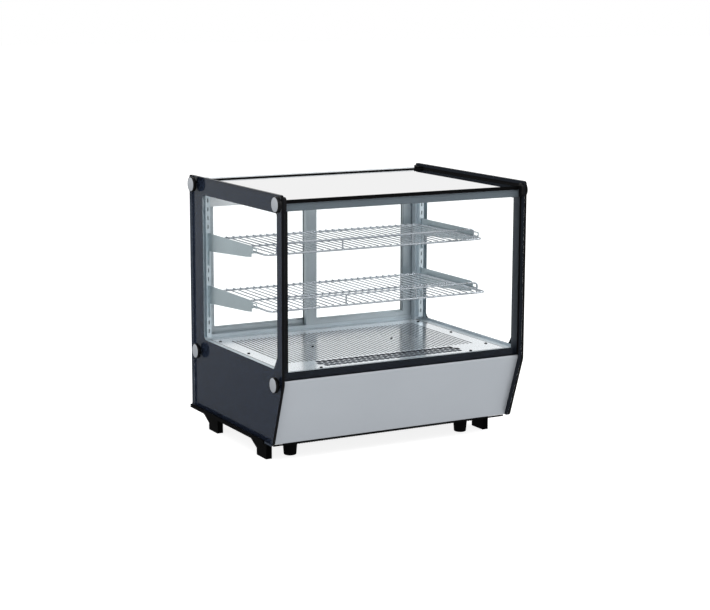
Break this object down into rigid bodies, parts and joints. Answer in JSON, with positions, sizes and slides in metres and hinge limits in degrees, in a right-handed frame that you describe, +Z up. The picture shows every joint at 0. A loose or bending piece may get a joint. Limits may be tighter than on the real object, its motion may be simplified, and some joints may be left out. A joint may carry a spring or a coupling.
{
  "type": "countertop refrigerated display case",
  "caption": "Countertop refrigerated display case with flat glass walls, wire shelves, a slotted deck, sliding rear doors and a sloped steel base.",
  "frame": {"origin": "middle of the footprint, on the surface the case stands on", "axes": "+Z up, the front glass faces -Y, the sliding doors face +Y, +X is the viewer's right seen from the front"},
  "size_m": [0.7043, 0.5679, 0.669],
  "materials": {
    "clear_glass": "gloss",
    "black_print": "gloss",
    "door_glass": "gloss",
    "stainless": "satin",
    "bright_knob": "satin",
    "black_clamp": "satin",
    "zinc": "satin",
    "black_coat": "satin",
    "black_plastic": "matte",
    "foot_rubber": "matte",
    "inner_steel": "satin",
    "foam": "matte",
    "deck_steel": "polished",
    "galvanised": "satin",
    "header_paint": "satin",
    "door_aluminium": "satin",
    "shelf_wire": "gloss",
    "lamp_aluminium": "satin",
    "lamp_diffuser": "matte",
    "display_smoke": "gloss",
    "button_grey": "matte",
    "rocker_green": "gloss",
    "rocker_red": "gloss",
    "fin_aluminium": "satin",
    "copper": "satin"
  },
  "bodies": {
    "case": {"side_glass_left": "clear_glass", "side_glass_right": "clear_glass", "side_prints": "black_print", "front_glass": "clear_glass", "front_print": "black_print", "top_glass": "clear_glass", "top_print": "black_print", "front_panel": "stainless", "clamp_bodies": "black_clamp", "clamp_caps": "bright_knob", "clamp_studs": "zinc", "corner_blocks": "black_clamp", "base_pan": "black_coat", "intake_grille": "black_plastic", "bracket_feet": "black_coat", "round_feet": "foot_rubber", "chassis_left": "inner_steel", "chassis_right": "inner_steel", "well_insulation": "foam", "well_liner": "inner_steel", "deck_plate": "deck_steel", "case_screws": "zinc", "rear_post_left": "inner_steel", "rear_post_right": "inner_steel", "pilaster_left": "galvanised", "pilaster_right": "galvanised", "rear_header": "header_paint", "door_sill": "inner_steel", "bracket_upper_left": "galvanised", "bracket_upper_right": "galvanised", "bracket_lower_left": "galvanised", "bracket_lower_right": "galvanised", "lamp_housing": "lamp_aluminium", "lamp_lens": "lamp_diffuser", "service_panel": "black_coat", "controller_box": "black_plastic", "display_window": "display_smoke", "switch_frames": "black_plastic", "cord_gland": "black_plastic", "compressor": "black_coat", "condenser_coil": "fin_aluminium", "condenser_shroud": "black_plastic", "drip_tray": "black_plastic", "refrigerant_pipes": "copper", "evaporator_coil": "fin_aluminium", "evaporator_fan_frames": "black_plastic"},
    "door_left": {"door_left_frame": "door_aluminium", "door_left_glass": "door_glass"},
    "door_right": {"door_right_frame": "door_aluminium", "door_right_glass": "door_glass"},
    "shelf_upper": {"shelf_upper": "shelf_wire"},
    "shelf_lower": {"shelf_lower": "shelf_wire"},
    "condenser_fan": {"condenser_fan": "black_plastic"},
    "evaporator_fan_left": {"evaporator_fan_left": "black_plastic"},
    "evaporator_fan_right": {"evaporator_fan_right": "black_plastic"},
    "light_rocker": {"light_rocker": "rocker_green"},
    "power_rocker": {"power_rocker": "rocker_red"},
    "set_button": {"set_button": "button_grey"},
    "up_button": {"up_button": "button_grey"},
    "down_button": {"down_button": "button_grey"}
  },
  "joints": [
    {"name": "left_door_slide", "type": "slide", "parent": "case", "child": "door_left", "axis": [1, 0, 0], "range_m": [0, 0.3]},
    {"name": "right_door_slide", "type": "slide", "parent": "case", "child": "door_right", "axis": [-1, 0, 0], "range_m": [-0.0035, 0.29]},
    {"name": "upper_shelf_lift", "type": "slide", "parent": "case", "child": "shelf_upper", "axis": [0, 0, 1], "range_m": [0, 0.06]},
    {"name": "lower_shelf_lift", "type": "slide", "parent": "case", "child": "shelf_lower", "axis": [0, 0, 1], "range_m": [0, 0.06]},
    {"name": "condenser_fan_spin", "type": "hinge", "parent": "case", "child": "condenser_fan", "pos_m": [0.15, -0.1015, 0.1092], "axis": [0, 1, 0], "continuous": true},
    {"name": "left_evaporator_fan_spin", "type": "hinge", "parent": "case", "child": "evaporator_fan_left", "pos_m": [-0.11, -0.1655, 0.209], "axis": [0, 0, 1], "continuous": true},
    {"name": "right_evaporator_fan_spin", "type": "hinge", "parent": "case", "child": "evaporator_fan_right", "pos_m": [0.11, -0.1655, 0.209], "axis": [0, 0, 1], "continuous": true},
    {"name": "light_switch_rock", "type": "hinge", "parent": "case", "child": "light_rocker", "pos_m": [-0.16, 0.2574, 0.182], "axis": [-1, 0, 0], "range_deg": [0, 24]},
    {"name": "power_switch_rock", "type": "hinge", "parent": "case", "child": "power_rocker", "pos_m": [-0.134, 0.2574, 0.182], "axis": [-1, 0, 0], "range_deg": [0, 24]},
    {"name": "set_button_press", "type": "slide", "parent": "case", "child": "set_button", "axis": [0, -1, 0], "range_m": [0, 0.0008], "stiffness_N_per_m": 300},
    {"name": "up_button_press", "type": "slide", "parent": "case", "child": "up_button", "axis": [0, -1, 0], "range_m": [0, 0.0008], "stiffness_N_per_m": 300},
    {"name": "down_button_press", "type": "slide", "parent": "case", "child": "down_button", "axis": [0, -1, 0], "range_m": [0, 0.0008], "stiffness_N_per_m": 300}
  ]
}
